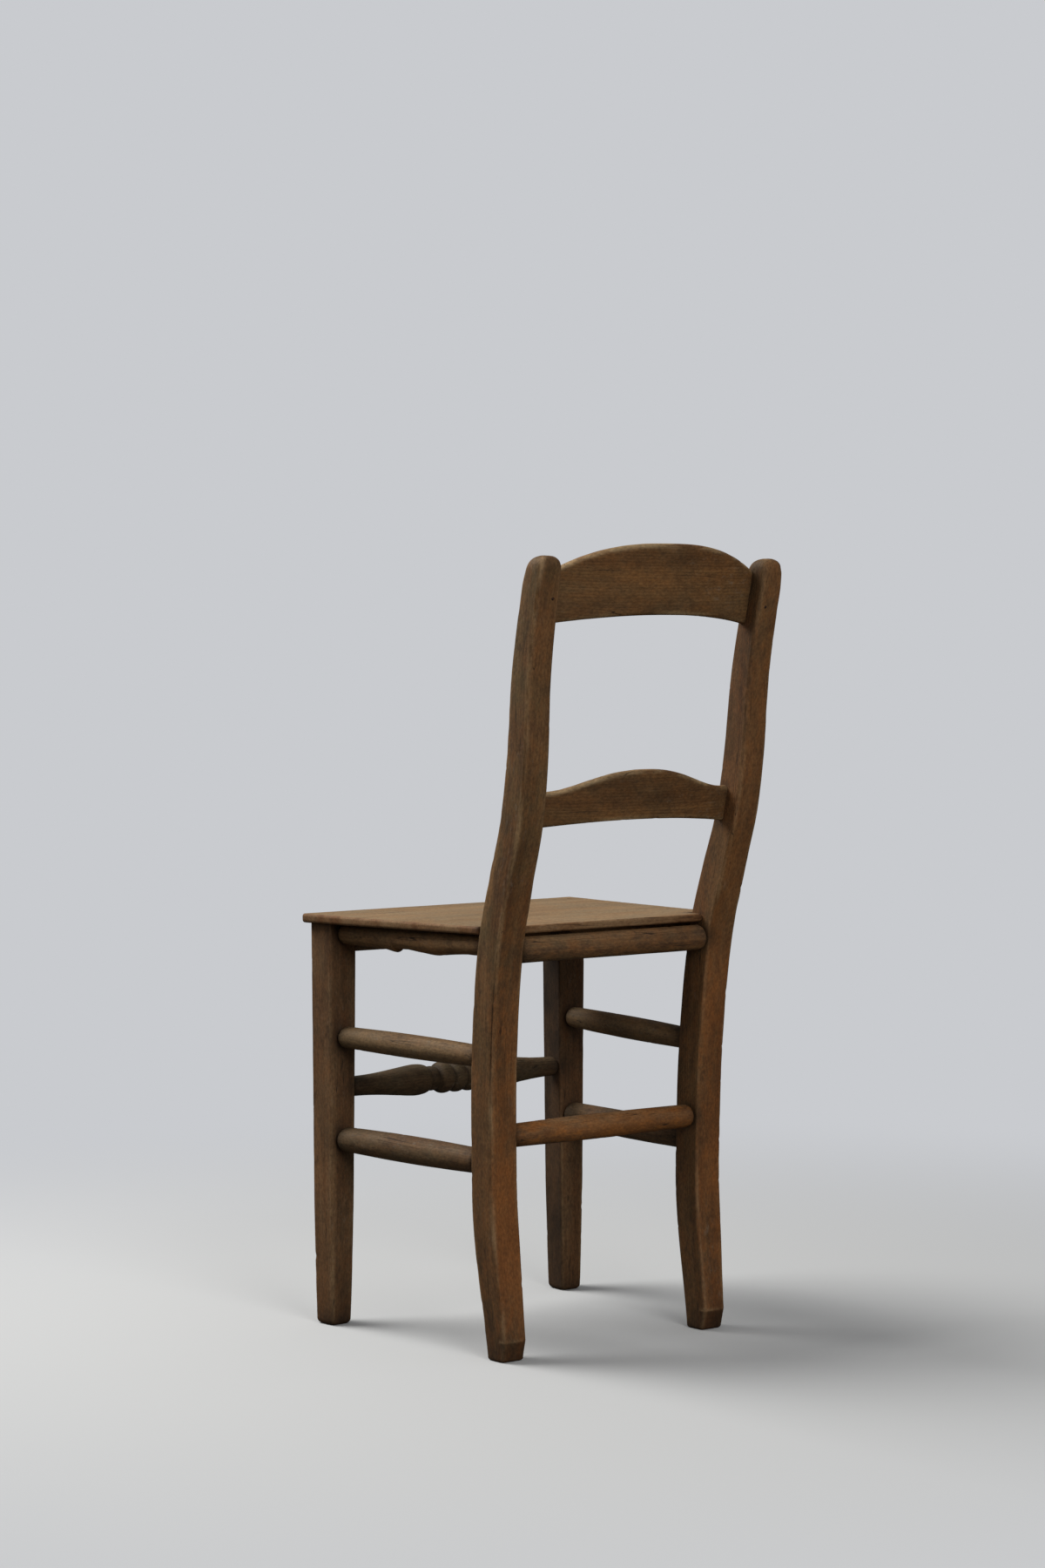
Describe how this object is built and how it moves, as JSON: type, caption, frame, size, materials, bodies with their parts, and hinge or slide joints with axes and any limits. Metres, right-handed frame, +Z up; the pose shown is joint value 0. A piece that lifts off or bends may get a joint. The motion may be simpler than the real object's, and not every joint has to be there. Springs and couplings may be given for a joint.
{
  "type": "wooden side chair",
  "caption": "Weathered farmhouse side chair in bare wood, with a curved ladder back, thin board seat, round stretchers and a turned front stretcher.",
  "frame": {"origin": "on the floor under the middle of the chair's overall width and depth", "axes": "+Z up; the chair faces -Y, its back is towards +Y and its left side, as one sits in it, is +X"},
  "size_m": [0.3968, 0.4127, 0.885],
  "materials": {
    "aged_wood": "bare, weathered and dirty",
    "seat_wood": "bare, worn pale and dusty",
    "dark_wood": "bare, grey-brown and grimy",
    "rusty_nails": "rusted"
  },
  "bodies": {
    "root": {"rear_post_left": "aged_wood", "rear_post_right": "aged_wood", "front_leg_left": "aged_wood", "front_leg_right": "aged_wood", "crest_rail": "aged_wood", "mid_rail": "aged_wood", "seat_board": "seat_wood", "seat_rail_front": "dark_wood", "seat_rail_rear": "aged_wood", "seat_rail_left": "dark_wood", "seat_rail_right": "dark_wood", "side_stretcher_upper_left": "aged_wood", "side_stretcher_upper_right": "aged_wood", "side_stretcher_lower_left": "aged_wood", "side_stretcher_lower_right": "aged_wood", "front_stretcher": "aged_wood", "rear_stretcher": "aged_wood", "crest_pins": "rusty_nails", "seat_nails": "rusty_nails"}
  },
  "joints": []
}
